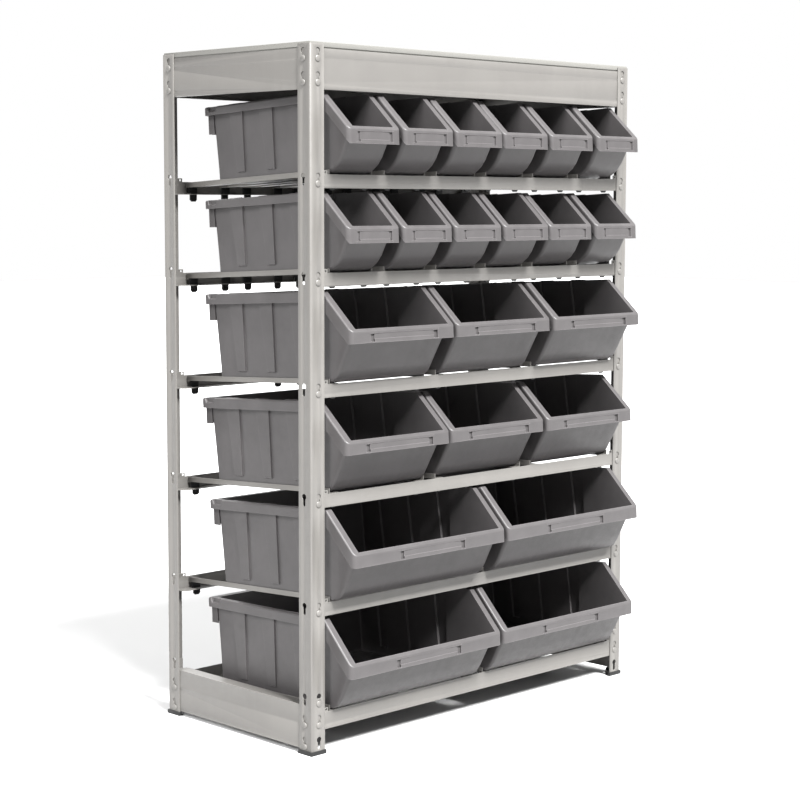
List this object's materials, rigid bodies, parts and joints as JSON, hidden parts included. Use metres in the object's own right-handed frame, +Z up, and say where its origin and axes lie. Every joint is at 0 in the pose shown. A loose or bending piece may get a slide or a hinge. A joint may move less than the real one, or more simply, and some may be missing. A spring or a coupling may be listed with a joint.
{
  "type": "bin rack with sliding storage bins",
  "caption": "Free-standing steel rack with a flat top board and sloping shelf rails that carry open-front plastic storage bins in graded sizes, each sliding forward.",
  "frame": {"origin": "centre of the bounding box in plan, at floor level", "axes": "+Z up, +X to the right and +Y to the back of the rack; the bin mouths face -Y"},
  "size_m": [1.0056, 0.5612, 1.45],
  "materials": {
    "rack_steel": "light grey powder coat, satin",
    "rail_steel": "light grey powder coat, rubbed by the bins",
    "panel_board": "off-white faced board, matt",
    "bin_plastic": "mid grey moulded plastic, fine texture",
    "foot_plastic": "black moulded plastic",
    "stud_steel": "grey zinc plate, dull"
  },
  "bodies": {
    "rack": {"post_front_left": "rack_steel", "post_front_right": "rack_steel", "post_rear_left": "rack_steel", "post_rear_right": "rack_steel", "foot_caps": "foot_plastic", "beam_rivets": "stud_steel", "top_beam_front": "rack_steel", "top_beam_rear": "rack_steel", "top_beam_left": "rack_steel", "top_beam_right": "rack_steel", "top_panel": "panel_board", "base_beam_left": "rack_steel", "base_beam_right": "rack_steel", "base_beam_front": "rack_steel", "base_beam_rear": "rack_steel", "shelf_beam_front_1": "rack_steel", "shelf_beam_rear_1": "rack_steel", "bin_rails_1": "rail_steel", "rail_feet_1": "foot_plastic", "shelf_beam_front_2": "rack_steel", "shelf_beam_rear_2": "rack_steel", "bin_rails_2": "rail_steel", "rail_feet_2": "foot_plastic", "shelf_beam_front_3": "rack_steel", "shelf_beam_rear_3": "rack_steel", "bin_rails_3": "rail_steel", "rail_feet_3": "foot_plastic", "shelf_beam_front_4": "rack_steel", "shelf_beam_rear_4": "rack_steel", "bin_rails_4": "rail_steel", "rail_feet_4": "foot_plastic", "shelf_beam_front_5": "rack_steel", "shelf_beam_rear_5": "rack_steel", "bin_rails_5": "rail_steel", "rail_feet_5": "foot_plastic", "bin_rails_6": "rail_steel", "rail_feet_6": "foot_plastic"},
    "bin_1_1_unit": {"bin_1_1": "bin_plastic"},
    "bin_1_2_unit": {"bin_1_2": "bin_plastic"},
    "bin_1_3_unit": {"bin_1_3": "bin_plastic"},
    "bin_1_4_unit": {"bin_1_4": "bin_plastic"},
    "bin_1_5_unit": {"bin_1_5": "bin_plastic"},
    "bin_1_6_unit": {"bin_1_6": "bin_plastic"},
    "bin_2_1_unit": {"bin_2_1": "bin_plastic"},
    "bin_2_2_unit": {"bin_2_2": "bin_plastic"},
    "bin_2_3_unit": {"bin_2_3": "bin_plastic"},
    "bin_2_4_unit": {"bin_2_4": "bin_plastic"},
    "bin_2_5_unit": {"bin_2_5": "bin_plastic"},
    "bin_2_6_unit": {"bin_2_6": "bin_plastic"},
    "bin_3_1_unit": {"bin_3_1": "bin_plastic"},
    "bin_3_2_unit": {"bin_3_2": "bin_plastic"},
    "bin_3_3_unit": {"bin_3_3": "bin_plastic"},
    "bin_4_1_unit": {"bin_4_1": "bin_plastic"},
    "bin_4_2_unit": {"bin_4_2": "bin_plastic"},
    "bin_4_3_unit": {"bin_4_3": "bin_plastic"},
    "bin_5_1_unit": {"bin_5_1": "bin_plastic"},
    "bin_5_2_unit": {"bin_5_2": "bin_plastic"},
    "bin_6_1_unit": {"bin_6_1": "bin_plastic"},
    "bin_6_2_unit": {"bin_6_2": "bin_plastic"}
  },
  "joints": [
    {"name": "bin_1_1_slide", "type": "slide", "parent": "rack", "child": "bin_1_1_unit", "axis": [0, -0.9986, 0.0524], "range_m": [0, 0.2]},
    {"name": "bin_1_2_slide", "type": "slide", "parent": "rack", "child": "bin_1_2_unit", "axis": [0, -0.9986, 0.0524], "range_m": [0, 0.2]},
    {"name": "bin_1_3_slide", "type": "slide", "parent": "rack", "child": "bin_1_3_unit", "axis": [0, -0.9986, 0.0524], "range_m": [0, 0.2]},
    {"name": "bin_1_4_slide", "type": "slide", "parent": "rack", "child": "bin_1_4_unit", "axis": [0, -0.9986, 0.0524], "range_m": [0, 0.2]},
    {"name": "bin_1_5_slide", "type": "slide", "parent": "rack", "child": "bin_1_5_unit", "axis": [0, -0.9986, 0.0524], "range_m": [0, 0.2]},
    {"name": "bin_1_6_slide", "type": "slide", "parent": "rack", "child": "bin_1_6_unit", "axis": [0, -0.9986, 0.0524], "range_m": [0, 0.2]},
    {"name": "bin_2_1_slide", "type": "slide", "parent": "rack", "child": "bin_2_1_unit", "axis": [0, -0.9986, 0.0524], "range_m": [0, 0.2]},
    {"name": "bin_2_2_slide", "type": "slide", "parent": "rack", "child": "bin_2_2_unit", "axis": [0, -0.9986, 0.0524], "range_m": [0, 0.2]},
    {"name": "bin_2_3_slide", "type": "slide", "parent": "rack", "child": "bin_2_3_unit", "axis": [0, -0.9986, 0.0524], "range_m": [0, 0.2]},
    {"name": "bin_2_4_slide", "type": "slide", "parent": "rack", "child": "bin_2_4_unit", "axis": [0, -0.9986, 0.0524], "range_m": [0, 0.2]},
    {"name": "bin_2_5_slide", "type": "slide", "parent": "rack", "child": "bin_2_5_unit", "axis": [0, -0.9986, 0.0524], "range_m": [0, 0.2]},
    {"name": "bin_2_6_slide", "type": "slide", "parent": "rack", "child": "bin_2_6_unit", "axis": [0, -0.9986, 0.0524], "range_m": [0, 0.2]},
    {"name": "bin_3_1_slide", "type": "slide", "parent": "rack", "child": "bin_3_1_unit", "axis": [0, -0.9986, 0.0524], "range_m": [0, 0.2]},
    {"name": "bin_3_2_slide", "type": "slide", "parent": "rack", "child": "bin_3_2_unit", "axis": [0, -0.9986, 0.0524], "range_m": [0, 0.2]},
    {"name": "bin_3_3_slide", "type": "slide", "parent": "rack", "child": "bin_3_3_unit", "axis": [0, -0.9986, 0.0524], "range_m": [0, 0.2]},
    {"name": "bin_4_1_slide", "type": "slide", "parent": "rack", "child": "bin_4_1_unit", "axis": [0, -0.9986, 0.0524], "range_m": [0, 0.2]},
    {"name": "bin_4_2_slide", "type": "slide", "parent": "rack", "child": "bin_4_2_unit", "axis": [0, -0.9986, 0.0524], "range_m": [0, 0.2]},
    {"name": "bin_4_3_slide", "type": "slide", "parent": "rack", "child": "bin_4_3_unit", "axis": [0, -0.9986, 0.0524], "range_m": [0, 0.2]},
    {"name": "bin_5_1_slide", "type": "slide", "parent": "rack", "child": "bin_5_1_unit", "axis": [0, -0.9986, 0.0524], "range_m": [0, 0.2]},
    {"name": "bin_5_2_slide", "type": "slide", "parent": "rack", "child": "bin_5_2_unit", "axis": [0, -0.9986, 0.0524], "range_m": [0, 0.2]},
    {"name": "bin_6_1_slide", "type": "slide", "parent": "rack", "child": "bin_6_1_unit", "axis": [0, -0.9997, 0.0253], "range_m": [0, 0.2]},
    {"name": "bin_6_2_slide", "type": "slide", "parent": "rack", "child": "bin_6_2_unit", "axis": [0, -0.9997, 0.0253], "range_m": [0, 0.2]}
  ]
}
